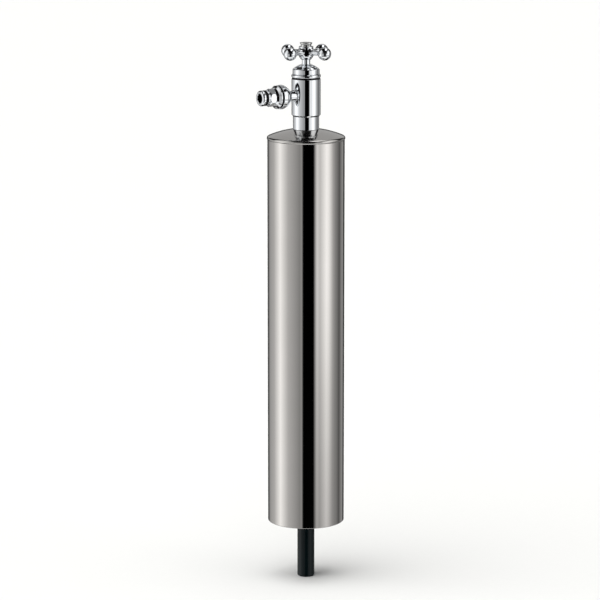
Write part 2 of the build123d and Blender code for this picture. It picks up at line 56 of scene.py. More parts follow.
# Column tube
# A stock stainless tube with a 1 mm wall, cut to length and polished bright along its seam-free outside.
# Its bottom edge is eased by hand and its top edge is hidden by the cap.
tube_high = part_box("column_tube")[1]
column_radius = tube_high.x
column_wall = 1.0 * mm
column_lip_round = 0.8 * mm
bore_edge_round = 0.15 * mm
turning_steps = 192
arc_steps = 5
merge_distance = 0.0001 * mm
sharp_angle = math.radians(32)


def eased(corners):
    """An outline of (radius, height, rounding) corners, each turned to an arc as polishing leaves it."""
    outline = []
    for index, (radius, height, rounding) in enumerate(corners):
        corner = Vector((radius, height))
        if not rounding:
            outline.append(corner)
            continue
        back = (Vector(corners[index - 1][:2]) - corner).normalized()
        ahead = (Vector(corners[(index + 1) % len(corners)][:2]) - corner).normalized()
        half_angle = back.angle(ahead) / 2
        reach = rounding / math.tan(half_angle)
        centre = corner + (back + ahead).normalized() * (rounding / math.sin(half_angle))
        start = corner + back * reach - centre
        end = corner + ahead * reach - centre
        for step in range(arc_steps + 1):
            share = step / arc_steps
            outline.append(centre + start.slerp(end, share).normalized() * rounding)
    return outline


def in_scene(name, data):
    """A new object made of a mesh, a lamp or a camera, put in the scene."""
    thing = bpy.data.objects.new(name, data)
    bpy.context.scene.collection.objects.link(thing)
    return thing


def shade(mesh):
    """Shades a mesh smooth, apart from its sharp edges."""
    mesh.shade_smooth()
    mesh.set_sharp_from_angle(angle=sharp_angle)


def mesh_piece(name, points, faces):
    """A piece made of these points and faces, with its faces turned outwards and shaded smooth."""
    mesh = bpy.data.meshes.new(name)
    mesh.from_pydata(points, [], faces)
    shell = bmesh.new()
    shell.from_mesh(mesh)
    bmesh.ops.remove_doubles(shell, verts=shell.verts, dist=merge_distance)
    bmesh.ops.recalc_face_normals(shell, faces=shell.faces)
    shell.to_mesh(mesh)
    shell.free()
    shade(mesh)
    return in_scene(name, mesh)


def turned(name, outline, place=Matrix.Identity(4)):
    """A piece whose outline is turned about its axis. The outline is closed on itself, or at the axis."""
    points = []
    for radius, height in outline:
        for step in range(turning_steps):
            angle = 2 * math.pi * step / turning_steps
            points.append(place @ Vector((radius * math.cos(angle), radius * math.sin(angle), height)))
    rows = len(outline)
    on_axis = outline[0][0] == 0
    faces = []
    for row in range(rows - 1 if on_axis else rows):
        here = row * turning_steps
        above = (row + 1) % rows * turning_steps
        for step in range(turning_steps):
            beside = (step + 1) % turning_steps
            faces.append((here + step, here + beside, above + beside, above + step))
    return mesh_piece(name, points, faces)


slot_of_node = {part["node"]: part["material_slot"] for part in frame["record"]["subparts"]}
bodies = frame["record"]["behaviour"]["bodies"]
body_of_node = {node: body for body, nodes in bodies.items() for node in nodes}


def fit(piece, node, material):
    """Puts the finished piece in the place of its CAD node, on the same body, with the given material."""
    piece.data.materials.clear()
    piece.data.materials.append(material)
    weighting = piece.modifiers.new("even_shading", "WEIGHTED_NORMAL")
    weighting.keep_sharp = True
    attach(piece, body_of_node[node])
    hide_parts(node)


def linear_colour(code):
    """The linear colour of an sRGB hex code."""
    levels = [int(code[place : place + 2], 16) / 255 for place in (0, 2, 4)]
    return [level / 12.92 if level <= 0.04045 else ((level + 0.055) / 1.055) ** 2.4 for level in levels] + [1]


def add_node(tree, kind, settings, links=()):
    """Adds a node, with its settings by name and its inputs linked from (output, input name) pairs."""
    node = tree.nodes.new(kind)
    for name, value in settings.items():
        if isinstance(name, int) or name in node.inputs:
            node.inputs[name].default_value = value
        else:
            setattr(node, name, value)
    for source, target in links:
        tree.links.new(source, node.inputs[target])
    return node


grain_low = 0.3
grain_high = 0.7
grain_evenness = 0.6
cloud_detail = 3.0
cloud_evenness = 0.55


def finish(
    name,
    settings,
    detail,
    colour,
    tint,
    roughness_low,
    roughness_high,
    grain_scale,
    grain_depth,
    cloud_size=0,
):
    """A material with a grain in its roughness and relief. Its colour drifts in clouds, or with the grain."""
    material = bpy.data.materials.new(name)
    material.use_nodes = True
    tree = material.node_tree
    tree.nodes.clear()
    place = add_node(tree, "ShaderNodeTexCoord", {})
    stretched = add_node(
        tree, "ShaderNodeMapping", {"Scale": grain_scale}, [(place.outputs["Object"], "Vector")]
    )
    grain = add_node(
        tree,
        "ShaderNodeTexNoise",
        {"Scale": 1.0, "Detail": detail, "Roughness": grain_evenness},
        [(stretched.outputs["Vector"], "Vector")],
    )
    drift = grain
    if cloud_size:
        drift = add_node(
            tree,
            "ShaderNodeTexNoise",
            {"Scale": 1 / cloud_size, "Detail": cloud_detail, "Roughness": cloud_evenness},
            [(place.outputs["Object"], "Vector")],
        )
    hue = add_node(
        tree,
        "ShaderNodeMix",
        {"data_type": "RGBA", 6: linear_colour(colour), 7: linear_colour(tint)},
        [(drift.outputs["Fac"], "Factor")],
    )
    dullness = add_node(
        tree,
        "ShaderNodeMapRange",
        {"To Min": roughness_low, "To Max": roughness_high, "From Min": grain_low, "From Max": grain_high},
        [(grain.outputs["Fac"], "Value")],
    )
    relief = add_node(
        tree, "ShaderNodeBump", {"Strength": 1.0, "Distance": grain_depth}, [(grain.outputs["Fac"], "Height")]
    )
    surface = add_node(
        tree,
        "ShaderNodeBsdfPrincipled",
        settings,
        [
            (hue.outputs[2], "Base Color"),
            (dullness.outputs["Result"], "Roughness"),
            (relief.outputs["Normal"], "Normal"),
        ],
    )
    add_node(tree, "ShaderNodeOutputMaterial", {}, [(surface.outputs["BSDF"], "Surface")])
    return material


metal_detail = 4.0


def metal(name, **look):
    """Bare or plated metal: its colour drifts in clouds, and its grain is polishing lines."""
    return finish(name, {"Metallic": 1.0}, metal_detail, **look)


# Polished 304 stainless: a warm grey mirror, a little soft from the belt, whose lines run round the tube
polished_stainless = metal(
    "polished_stainless",
    colour="d1cecb",
    tint="c9c6c2",
    roughness_low=0.04,
    roughness_high=0.07,
    grain_scale=(20.0, 20.0, 2500.0),
    grain_depth=0.0004 * mm,
    cloud_size=60 * mm,
)

bore_radius = column_radius - column_wall
column_tube = turned(
    "column_tube_polished",
    eased(
        [
            (bore_radius, 0, bore_edge_round),
            (column_radius, 0, column_lip_round),
            (column_radius, tube_high.z, 0),
            (bore_radius, tube_high.z, 0),
        ]
    ),
)
fit(column_tube, "column_tube", polished_stainless)


# Column cap
# Stainless sheet spun over a former into a shallow crown, with its edge rolled to a bead that overhangs the
# tube. A short skirt below the bead is pressed into the tube, and the crown has a hole for the tap's shank.
cap_low, cap_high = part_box("column_cap")
cap_wall = 1.0 * mm
cap_crown_radius = 101.0 * mm
cap_edge_radius = 2.3 * mm
cap_bead_height = 1.9 * mm
cap_flat_radius = 13.1 * mm
cap_hole_radius = 10.8 * mm
crown_steps = 24
bead_steps = 20
bead_end_angle = math.radians(134)

bead_z = tube_high.z + cap_bead_height
bead_radius = cap_high.x
edge_centre_radius = bead_radius - cap_edge_radius
crown_offset = cap_crown_radius - cap_edge_radius
crown_centre_z = bead_z - math.sqrt(crown_offset**2 - edge_centre_radius**2)


def arc(centre, radius, start, end, steps):
    """Points of an arc in an outline. Its angles run from the axis direction towards the outside."""
    angles = [start + (end - start) * step / steps for step in range(steps + 1)]
    return [Vector(centre) + radius * Vector((math.sin(angle), math.cos(angle))) for angle in angles]


flat_angle = math.asin(cap_flat_radius / cap_crown_radius)
edge_angle = math.asin(edge_centre_radius / crown_offset)
skirt_radius = bore_radius - cap_wall
inner_crown_radius = cap_crown_radius - cap_wall
inner_flat_z = cap_high.z - cap_wall
inner_flat_angle = math.acos((inner_flat_z - crown_centre_z) / inner_crown_radius)
inner_edge_angle = math.asin(skirt_radius / inner_crown_radius)
cap_outline = [
    Vector((cap_hole_radius, cap_high.z)),
    *arc((0, crown_centre_z), cap_crown_radius, flat_angle, edge_angle, crown_steps),
    *arc((edge_centre_radius, bead_z), cap_edge_radius, edge_angle, bead_end_angle, bead_steps)[1:],
    Vector((edge_centre_radius + cap_edge_radius * math.sin(bead_end_angle), tube_high.z)),
    Vector((bore_radius, tube_high.z)),
    Vector((bore_radius, cap_low.z)),
    Vector((skirt_radius, cap_low.z)),
    *arc((0, crown_centre_z), inner_crown_radius, inner_edge_angle, inner_flat_angle, crown_steps),
    Vector((cap_hole_radius, inner_flat_z)),
]
column_cap = turned("column_cap_spun", cap_outline)

# Spun 304 stainless: the same sheet, a touch duller than the tube, with rings left by the spinning roller
spun_stainless = metal(
    "spun_stainless",
    colour="cbc9c6",
    tint="c2bfbb",
    roughness_low=0.09,
    roughness_high=0.15,
    grain_scale=(60.0, 60.0, 2500.0),
    grain_depth=0.0006 * mm,
    cloud_size=40 * mm,
)
fit(column_cap, "column_cap", spun_stainless)


# Supply pipe
# Extruded impact-resistant PVC, almost black with a blue cast, cut square and chamfered for its socket.
# It hangs in the column from the tap and comes out of the foot.
pipe_low, pipe_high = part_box("riser_pipe")
pipe_radius = pipe_high.x
pipe_bore_radius = 6.5 * mm
pipe_end_chamfer = 1.0 * mm
pipe_edge_round = 0.25 * mm
clip_groove_depth = 0.6 * mm
clip_low, clip_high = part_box("pipe_clip")
clip_groove_radius = pipe_radius - clip_groove_depth

riser_pipe = turned(
    "riser_pipe_extruded",
    eased(
        [
            (pipe_bore_radius, pipe_low.z, pipe_edge_round),
            (pipe_radius - pipe_end_chamfer, pipe_low.z, pipe_edge_round),
            (pipe_radius, pipe_low.z + pipe_end_chamfer, pipe_edge_round),
            (pipe_radius, clip_low.z, 0),
            (clip_groove_radius, clip_low.z, 0),
            (clip_groove_radius, clip_high.z, 0),
            (pipe_radius, clip_high.z, 0),
            (pipe_radius, pipe_high.z, 0),
            (pipe_bore_radius, pipe_high.z, 0),
        ]
    ),
)


polymer_detail = 5.0


def polymer(name, ior, shine=0.5, **look):
    """Plastic or rubber: its colour drifts with its grain, which is a faint relief of its skin."""
    return finish(name, {"IOR": ior, "Specular IOR Level": shine}, polymer_detail, **look)


# Extruded PVC: satin, with die lines along its length a few millimetres apart
extruded_pvc = polymer(
    "extruded_pvc",
    colour="04090b",
    tint="0a1a1d",
    roughness_low=0.10,
    roughness_high=0.16,
    grain_scale=(900.0, 900.0, 12.0),
    grain_depth=0.004 * mm,
    ior=1.53,
    shine=0.2,
)
fit(riser_pipe, "riser_pipe", extruded_pvc)


# Tap sleeve
# A short length of turned brass tube, chrome-plated, that stands on the cap and hides the tap's shank.
# The locknut under the cap pulls the tap body down on it.
sleeve_low, sleeve_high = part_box("tap_sleeve")
sleeve_radius = sleeve_high.x
sleeve_bore_radius = 10.7 * mm
sleeve_edge_round = 0.4 * mm

tap_sleeve = turned(
    "tap_sleeve_plated",
    eased(
        [
            (sleeve_bore_radius, sleeve_low.z, 0),
            (sleeve_radius, sleeve_low.z, sleeve_edge_round),
            (sleeve_radius, sleeve_high.z, sleeve_edge_round),
            (sleeve_bore_radius, sleeve_high.z, 0),
        ]
    ),
)

# Bright chrome on polished brass: a cold, nearly perfect mirror with the faintest polishing haze
bright_chrome = metal(
    "bright_chrome",
    colour="f0f2f4",
    tint="e8ebee",
    roughness_low=0.02,
    roughness_high=0.05,
    grain_scale=(300.0, 300.0, 300.0),
    grain_depth=0.0005 * mm,
    cloud_size=20 * mm,
)
fit(tap_sleeve, "tap_sleeve", bright_chrome)


# Tap body
# A brass casting, turned, polished and chrome-plated: barrel, threaded shank and an outlet neck that opens to
# a bell. The neck flows into the barrel through a small fillet, left by the mould.
body_low, body_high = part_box("tap_body")
body_radius = body_high.x
body_foot_z = sleeve_high.z
body_foot_height = 1.5 * mm
body_foot_inset = 1.4 * mm
body_foot_radius = body_radius - body_foot_inset
body_edge_round = 0.35 * mm
shank_radius = 10.4 * mm
shank_end_chamfer = 0.8 * mm
nipple_low, nipple_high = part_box("hose_nipple")
outlet_z = (nipple_low.z + nipple_high.z) / 2
neck_radius = 5.5 * mm
neck_bore_radius = 3.8 * mm
neck_fillet_radius = 6.1 * mm
neck_fillet_end = 15.8 * mm
bell_radius = 12.5 * mm
bell_start = 20.2 * mm
bell_dome_length = 9.3 * mm
bell_crease = math.radians(20)
bell_edge_round = 0.35 * mm
bell_reach = -body_low.y
socket_radius = 10.4 * mm
socket_depth = 7.0 * mm
fillet_pull = 1.1
dome_steps = 20
blend_steps = 14
outlet_steps = 144

barrel = turned(
    "tap_barrel",
    eased(
        [
            (0, body_low.z, 0),
            (shank_radius, body_low.z, shank_end_chamfer),
            (shank_radius, body_foot_z, 0),
            (body_foot_radius, body_foot_z, 0),
            (body_radius, body_foot_z + body_foot_height, body_edge_round * 2),
            (body_radius, body_high.z, body_edge_round / 2),
            (0, body_high.z, 0),
        ]
    ),
)

# Turns a height along the axis into a distance along the outlet, which points to the front
outlet_place = Matrix(((1, 0, 0, 0), (0, 0, -1, 0), (0, 1, 0, outlet_z), (0, 0, 0, 1)))


def eased_join(start, start_way, end, end_way, steps):
    """Points of a curve that leaves one surface and reaches another without a crease."""
    pull = (end - start).length * fillet_pull
    points = []
    for step in range(steps + 1):
        t = step / steps
        points.append(
            start * (2 * t**3 - 3 * t**2 + 1)
            + start_way * pull * (t**3 - 2 * t**2 + t)
            + end * (3 * t**2 - 2 * t**3)
            + end_way * pull * (t**3 - t**2)
        )
    return points


# The bell's back is an arc that leaves the rim at a crease and steepens towards the neck
dome_end = bell_start + bell_dome_length
chord = Vector((bell_radius - neck_radius, bell_dome_length))
chord_tilt = math.atan2(chord.x, chord.y)
dome_half_angle = chord_tilt - bell_crease
dome_bend = chord.length / (2 * math.sin(dome_half_angle))
dome = []
for step in range(dome_steps, -1, -1):
    tilt = bell_crease + 2 * dome_half_angle * step / dome_steps
    dome.append(
        (
            bell_radius - dome_bend * (math.cos(bell_crease) - math.cos(tilt)),
            dome_end - dome_bend * (math.sin(tilt) - math.sin(bell_crease)),
        )
    )
socket_start = bell_reach - socket_depth
bell_rim = [
    (bell_radius, dome_end, 0),
    (bell_radius, bell_reach, bell_edge_round),
    (socket_radius, bell_reach, 0),
]
bell_outline = [
    *dome,
    *eased(bell_rim)[1:],
    (socket_radius, socket_start),
    (neck_bore_radius, socket_start - (socket_radius - neck_bore_radius)),
    (neck_bore_radius, body_radius / 2),
]

outlet_points = []
for step in range(outlet_steps):
    angle = 2 * math.pi * step / outlet_steps
    across = Vector((math.cos(angle), 0, math.sin(angle)))
    contact = across * neck_fillet_radius + Vector((0, 0, outlet_z))
    contact.y = -math.sqrt(body_radius**2 - contact.x**2)
    facing = Vector((contact.x, contact.y, 0)).normalized()
    inwards = (facing * across.dot(facing) - across).normalized()
    neck_point = across * neck_radius + Vector((0, -neck_fillet_end, outlet_z))
    strip = eased_join(contact, inwards, neck_point, Vector((0, -1, 0)), blend_steps)
    strip += [across * radius + Vector((0, -along, outlet_z)) for radius, along in bell_outline]
    strip.append(across * neck_fillet_radius + Vector((0, -body_radius / 2, outlet_z)))
    outlet_rows = len(strip)
    outlet_points += strip


def strip_faces(strips, rows):
    """The faces between strips of points that stand side by side all round, each closed on itself."""
    faces = []
    for strip in range(strips):
        here = strip * rows
        beside = (strip + 1) % strips * rows
        for row in range(rows):
            above = (row + 1) % rows
            faces.append((here + row, beside + row, beside + above, here + above))
    return faces


outlet = mesh_piece("tap_outlet", outlet_points, strip_faces(outlet_steps, outlet_rows))


def joined(name, pieces):
    """One piece made of several shells."""
    shells = bmesh.new()
    for piece in pieces:
        shells.from_mesh(piece.data)
        bpy.data.objects.remove(piece)
    mesh = bpy.data.meshes.new(name)
    shells.to_mesh(mesh)
    shells.free()
    shade(mesh)
    return in_scene(name, mesh)


tap_body = joined("tap_body_plated", [barrel, outlet])
fit(tap_body, "tap_body", bright_chrome)


# Bonnet gasket
# A thin black rubber ring, pressed between body and bonnet, that shows as a dark line below the bead.
gasket_low, gasket_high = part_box("bonnet_gasket")
bonnet_thread_radius = 11.5 * mm
rubber_edge_round = 0.25 * mm

bonnet_gasket = turned(
    "bonnet_gasket_rubber",
    eased(
        [
            (bonnet_thread_radius, gasket_low.z, 0),
            (gasket_high.x, gasket_low.z, rubber_edge_round),
            (gasket_high.x, gasket_high.z, rubber_edge_round),
            (bonnet_thread_radius, gasket_high.z, 0),
        ]
    ),
)

# Moulded nitrile rubber: matt black, with the fine bloom of a new seal
moulded_rubber = polymer(
    "moulded_rubber",
    colour="060606",
    tint="0e0e0f",
    roughness_low=0.5,
    roughness_high=0.65,
    grain_scale=(700.0, 700.0, 700.0),
    grain_depth=0.006 * mm,
    ior=1.5,
    shine=0.2,
)
fit(bonnet_gasket, "bonnet_gasket", moulded_rubber)


# Bonnet
# Turned from brass and chrome-plated: a rounded bead outside, and a threaded neck under the domed nut.
# It screws into the body and carries the spindle's thread and its stuffing box.
bonnet_low, bonnet_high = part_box("bonnet")
bead_foot_z = gasket_high.z
bead_height = 3.7 * mm
bead_round = 1.35 * mm
bonnet_neck_radius = 10.4 * mm
spindle_thread_hole_radius = 6.5 * mm
stuffing_box_radius = 7.4 * mm
stuffing_box_sink = 2.5 * mm
stuffing_box_z = bead_foot_z + bead_height - stuffing_box_sink

bonnet = turned(
    "bonnet_plated",
    eased(
        [
            (spindle_thread_hole_radius, bonnet_low.z, 0),
            (bonnet_thread_radius, bonnet_low.z, 0),
            (bonnet_thread_radius, bead_foot_z, 0),
            (bonnet_high.x, bead_foot_z, bead_round),
            (bonnet_high.x, bead_foot_z + bead_height, bead_round),
            (bonnet_neck_radius, bead_foot_z + bead_height, 0),
            (bonnet_neck_radius, bonnet_high.z, 0),
            (stuffing_box_radius, bonnet_high.z, 0),
            (stuffing_box_radius, stuffing_box_z, 0),
            (spindle_thread_hole_radius, stuffing_box_z, 0),
        ]
    ),
)
fit(bonnet, "bonnet", bright_chrome)


# Gland nut
# A domed nut, turned from brass and chrome-plated, that presses the packing on the spindle.
# Its dome ends in a small flat round the stem.
nut_low, nut_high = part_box("gland_nut")
nut_radius = nut_high.x
nut_skirt_height = 4.4 * mm
nut_shoulder_width = 0.7 * mm
nut_shoulder_height = 1.1 * mm
nut_crown_bulge = 0.45 * mm
nut_flat_width = 0.5 * mm
nut_foot_round = 0.5 * mm
spindle_hole_radius = 4.3 * mm
nut_flat_radius = spindle_hole_radius + nut_flat_width
nut_shoulder_z = nut_low.z + nut_skirt_height
gland_ceiling_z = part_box("gland_ring")[1].z
crown_foot = Vector((nut_radius - nut_shoulder_width, nut_shoulder_z + nut_shoulder_height))
crown_head = Vector((nut_flat_radius, nut_high.z))
crown_way = (crown_head - crown_foot).normalized()
crown_out = Vector((crown_way.y, -crown_way.x))
shoulder = []
for step in range(arc_steps):
    angle = math.pi / 2 * step / arc_steps
    inset = nut_shoulder_width * (1 - math.cos(angle))
    shoulder.append(Vector((nut_radius - inset, nut_shoulder_z + nut_shoulder_height * math.sin(angle))))
crown = [
    crown_foot.lerp(crown_head, step / crown_steps)
    + crown_out * nut_crown_bulge * (1 - (2 * step / crown_steps - 1) ** 2)
    for step in range(crown_steps + 1)
]
nut_skirt = [
    (bonnet_neck_radius, nut_low.z, 0),
    (nut_radius, nut_low.z, nut_foot_round),
    (nut_radius, nut_high.z, 0),
]
nut_outline = [
    *eased(nut_skirt)[:-1],
    *shoulder,
    *crown,
    Vector((spindle_hole_radius, nut_high.z)),
    Vector((spindle_hole_radius, gland_ceiling_z)),
    Vector((bonnet_neck_radius, gland_ceiling_z)),
]
gland_nut = turned("gland_nut_plated", nut_outline)
fit(gland_nut, "gland_nut", bright_chrome)


# Spindle
# Turned brass, chrome-plated where it shows: a plain stem that rises through the domed nut as the tap opens.
# A square on its top drives the handle. A lifting thread and a socket for the loose valve are hidden below.
spindle_low, spindle_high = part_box("spindle")
spindle_radius = 4.25 * mm
spindle_foot_radius = 5.2 * mm
spindle_thread_radius = 6.45 * mm
spindle_thread_length = 13.5 * mm
spindle_thread_top_gap = 4.1 * mm
spindle_thread_top_z = stuffing_box_z - spindle_thread_top_gap
spindle_thread_z = spindle_thread_top_z - spindle_thread_length
spindle_socket_radius = 3.05 * mm
spindle_socket_depth = 10.0 * mm
spindle_socket_z = spindle_low.z + spindle_socket_depth

spindle_outline = [
    Vector((0, spindle_socket_z)),
    Vector((spindle_socket_radius, spindle_socket_z)),
    Vector((spindle_socket_radius, spindle_low.z)),
    Vector((spindle_foot_radius, spindle_low.z)),
    Vector((spindle_foot_radius, spindle_thread_z)),
    Vector((spindle_thread_radius, spindle_thread_z)),
    Vector((spindle_thread_radius, spindle_thread_top_z)),
    Vector((spindle_radius, spindle_thread_top_z)),
    Vector((spindle_radius, spindle_high.z)),
    Vector((0, spindle_high.z)),
]
spindle = turned("spindle_plated", spindle_outline)
fit(spindle, "spindle", bright_chrome)


# Cross handle
# Cast brass, polished and chrome-plated: a bellied hub with four waisted arms, each ending in a ball.
# The arms flow out of the hub and into their balls through fillets. It sits on the spindle's square.
handle_rest_angle = math.radians(17.3)
arm_count = 4
handle_clearance = 4.5 * mm
hub_low_z = nut_high.z + handle_clearance
hub_height = 13.8 * mm
hub_foot_radius = 4.7 * mm
hub_belly_radius = 7.9 * mm
hub_belly_height = 6.6 * mm
hub_top_radius = 7.45 * mm
hub_top_round = 0.45 * mm
button_hole_radius = 5.05 * mm
button_hole_depth = 2.2 * mm
arm_height = 7.6 * mm
arm_reach = 24.8 * mm
arm_waist_reach = 12.6 * mm
arm_waist_radius = 2.4 * mm
arm_fillet_radius = 5.45 * mm
ball_radius = 6.8 * mm
ball_join_angle = math.radians(36)
arm_steps = 64
ball_steps = 28

hub_top_z = hub_low_z + hub_height
hub_belly_z = hub_low_z + hub_belly_height


def bow(radius_drop, rise):
    """The radius of the arc that runs straight up at the belly and loses that much radius over the rise."""
    return (radius_drop**2 + rise**2) / (2 * radius_drop)


lower_bow = bow(hub_belly_radius - hub_foot_radius, hub_belly_height)
upper_bow = bow(hub_belly_radius - hub_top_radius, hub_height - hub_belly_height - hub_top_round)


def hub_radius_at(height):
    """The hub's outside radius at a height."""
    rise = height - hub_belly_z
    bend = lower_bow if rise < 0 else upper_bow
    return hub_belly_radius - bend + math.sqrt(bend**2 - rise**2)


hub_rows = 22
hub_heights = [hub_low_z + (hub_height - hub_top_round) * step / hub_rows for step in range(hub_rows + 1)]
hub_top_corner = (hub_top_radius - hub_top_round, hub_top_z - hub_top_round)
hub_outline = [
    Vector((spindle_radius, hub_low_z)),
    *[Vector((hub_radius_at(height), height)) for height in hub_heights],
    *arc(hub_top_corner, hub_top_round, math.pi / 2, 0, arc_steps)[1:],
    Vector((button_hole_radius, hub_top_z)),
    Vector((button_hole_radius, hub_top_z - button_hole_depth)),
    Vector((spindle_radius, hub_top_z - button_hole_depth)),
]
hub = turned("handle_hub", hub_outline)

# One arm along +X, from the hub's skin to the far side of its ball
arm_z = hub_low_z + arm_height
arm_rows = []
for step in range(arm_steps):
    angle = 2 * math.pi * step / arm_steps
    across = Vector((0, math.cos(angle), math.sin(angle)))
    contact = across * arm_fillet_radius + Vector((0, 0, arm_z))
    skin_radius = hub_radius_at(contact.z)
    contact.x = math.sqrt(skin_radius**2 - contact.y**2)
    rise = contact.z - hub_belly_z
    bend = lower_bow if rise < 0 else upper_bow
    facing = Vector((contact.x, contact.y, rise / bend * skin_radius)).normalized()
    inwards = (facing * across.dot(facing) - across).normalized()
    waist = across * arm_waist_radius + Vector((arm_waist_reach, 0, arm_z))
    row = eased_join(contact, inwards, waist, Vector((1, 0, 0)), blend_steps)
    ball_middle = Vector((arm_reach, 0, arm_z))
    join_side = Vector((-math.cos(ball_join_angle), 0, 0)) + across * math.sin(ball_join_angle)
    join = ball_middle + ball_radius * join_side
    join_way = Vector((math.sin(ball_join_angle), 0, 0)) + across * math.cos(ball_join_angle)
    row += eased_join(waist, Vector((1, 0, 0)), join, join_way, blend_steps)[1:]
    for turn in range(1, ball_steps):
        around = ball_join_angle + (math.pi - ball_join_angle) * turn / ball_steps
        ball_side = Vector((-math.cos(around), 0, 0)) + across * math.sin(around)
        row.append(ball_middle + ball_radius * ball_side)
    arm_rows.append(row)
arm_length = len(arm_rows[0])
arm_points = [point for row in arm_rows for point in row]
ball_tip = len(arm_points)
arm_points.append(Vector((arm_reach + ball_radius, 0, arm_z)))
root_middle = len(arm_points)
arm_points.append(Vector((hub_top_radius / 2, 0, arm_z)))
arm_faces = []
for step in range(arm_steps):
    here = step * arm_length
    beside = (step + 1) % arm_steps * arm_length
    for row in range(arm_length - 1):
        arm_faces.append((here + row, beside + row, beside + row + 1, here + row + 1))
    arm_faces.append((here + arm_length - 1, beside + arm_length - 1, ball_tip))
    arm_faces.append((beside, here, root_middle))
arm = mesh_piece("handle_arm", arm_points, arm_faces)


def geometry_tree(name, inputs):
    """An empty Geometry Nodes tree with a geometry in and out and these other inputs, by name and kind."""
    tree = bpy.data.node_groups.new(name, "GeometryNodeTree")
    tree.interface.new_socket("Geometry", in_out="INPUT", socket_type="NodeSocketGeometry")
    tree.interface.new_socket("Geometry", in_out="OUTPUT", socket_type="NodeSocketGeometry")
    for title, kind in inputs.items():
        tree.interface.new_socket(title, in_out="INPUT", socket_type=kind)
    return tree


def run_tree(piece, tree, values):
    """Runs a tree on a piece with the given inputs and keeps the plain mesh that comes out."""
    modifier = piece.modifiers.new(tree.name, "NODES")
    modifier.node_group = tree
    for socket in tree.interface.items_tree:
        if socket.name in values:
            modifier[socket.identifier] = values[socket.name]
    bpy.context.view_layer.update()
    evaluated = piece.evaluated_get(bpy.context.evaluated_depsgraph_get())
    mesh = bpy.data.meshes.new_from_object(evaluated)
    piece.modifiers.remove(modifier)
    piece.data = mesh
    shade(mesh)


# The arms stand at even angles about the spindle, as the casting pattern has them
arms_tree = geometry_tree(
    "handle_arms",
    {
        "Arm": "NodeSocketObject",
        "Arms": "NodeSocketInt",
        "First angle": "NodeSocketFloat",
        "Plating": "NodeSocketMaterial",
    },
)
arms_in = add_node(arms_tree, "NodeGroupInput", {})
arm_shape = add_node(arms_tree, "GeometryNodeObjectInfo", {}, [(arms_in.outputs["Arm"], "Object")])
arm_seats = add_node(
    arms_tree, "GeometryNodeMeshLine", {"Offset": (0, 0, 0)}, [(arms_in.outputs["Arms"], "Count")]
)
arm_number = add_node(arms_tree, "GeometryNodeInputIndex", {})
arm_step = add_node(
    arms_tree, "ShaderNodeMath", {"operation": "DIVIDE", 0: 2 * math.pi}, [(arms_in.outputs["Arms"], 1)]
)
arm_angle = add_node(
    arms_tree,
    "ShaderNodeMath",
    {"operation": "MULTIPLY_ADD"},
    [(arm_number.outputs[0], 0), (arm_step.outputs[0], 1), (arms_in.outputs["First angle"], 2)],
)
arm_turn = add_node(arms_tree, "ShaderNodeCombineXYZ", {}, [(arm_angle.outputs[0], "Z")])
arm_copies = add_node(
    arms_tree,
    "GeometryNodeInstanceOnPoints",
    {},
    [
        (arm_seats.outputs["Mesh"], "Points"),
        (arm_shape.outputs["Geometry"], "Instance"),
        (arm_turn.outputs[0], "Rotation"),
    ],
)
all_arms = add_node(arms_tree, "GeometryNodeJoinGeometry", {}, [(arms_in.outputs["Geometry"], "Geometry")])
arms_tree.links.new(arm_copies.outputs["Instances"], all_arms.inputs["Geometry"])
real_arms = add_node(
    arms_tree, "GeometryNodeRealizeInstances", {}, [(all_arms.outputs["Geometry"], "Geometry")]
)
plated_arms = add_node(
    arms_tree,
    "GeometryNodeSetMaterial",
    {},
    [(real_arms.outputs["Geometry"], "Geometry"), (arms_in.outputs["Plating"], "Material")],
)
add_node(arms_tree, "NodeGroupOutput", {}, [(plated_arms.outputs["Geometry"], "Geometry")])
run_tree(
    hub,
    arms_tree,
    {"Arm": arm, "Arms": arm_count, "First angle": handle_rest_angle, "Plating": bright_chrome},
)
hub.name = "cross_handle_plated"
bpy.data.objects.remove(arm)
fit(hub, "cross_handle", bright_chrome)


# Index button
# A small turned button, flared to a thin disc, that is pushed into the hub and hides the handle's screw.
button_low, button_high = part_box("index_button")
button_plug_radius = 5.0 * mm
button_neck_radius = 5.5 * mm
button_neck_height = 2.9 * mm
button_hollow_radius = 4.0 * mm
button_hollow_rise = 0.6 * mm
button_hollow_z = hub_top_z + button_hollow_rise
button_disc_radius = button_high.x
button_disc_height = 1.0 * mm
button_edge_round = 0.3 * mm
button_flare_round = 0.8 * mm
button_lip_round = 0.1 * mm

index_button = turned(
    "index_button_plated",
    eased(
        [
            (0, button_hollow_z, 0),
            (button_hollow_radius, button_hollow_z, 0),
            (button_hollow_radius, button_low.z, 0),
            (button_plug_radius, button_low.z, 0),
            (button_plug_radius, hub_top_z, 0),
            (button_neck_radius, hub_top_z, 0),
            (button_neck_radius, hub_top_z + button_neck_height / 2, button_flare_round),
            (button_disc_radius, button_high.z - button_disc_height, button_lip_round),
            (button_disc_radius, button_high.z, button_edge_round),
            (0, button_high.z, 0),
        ]
    ),
)

# Satin chrome: brushed before plating, so it looks a soft pale grey beside the bright handle
satin_chrome = metal(
    "satin_chrome",
    colour="dadad8",
    tint="d2d2cf",
    roughness_low=0.2,
    roughness_high=0.28,
    grain_scale=(40.0, 40.0, 3000.0),
    grain_depth=0.002 * mm,
    cloud_size=10 * mm,
)
fit(index_button, "index_button", satin_chrome)


# Outlet gasket
# A black rubber ring squeezed between the bell's rim and the nipple's shoulder.
outlet_gasket_low, outlet_gasket_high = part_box("outlet_gasket")
gasket_start = -outlet_gasket_high.y
gasket_end = -outlet_gasket_low.y

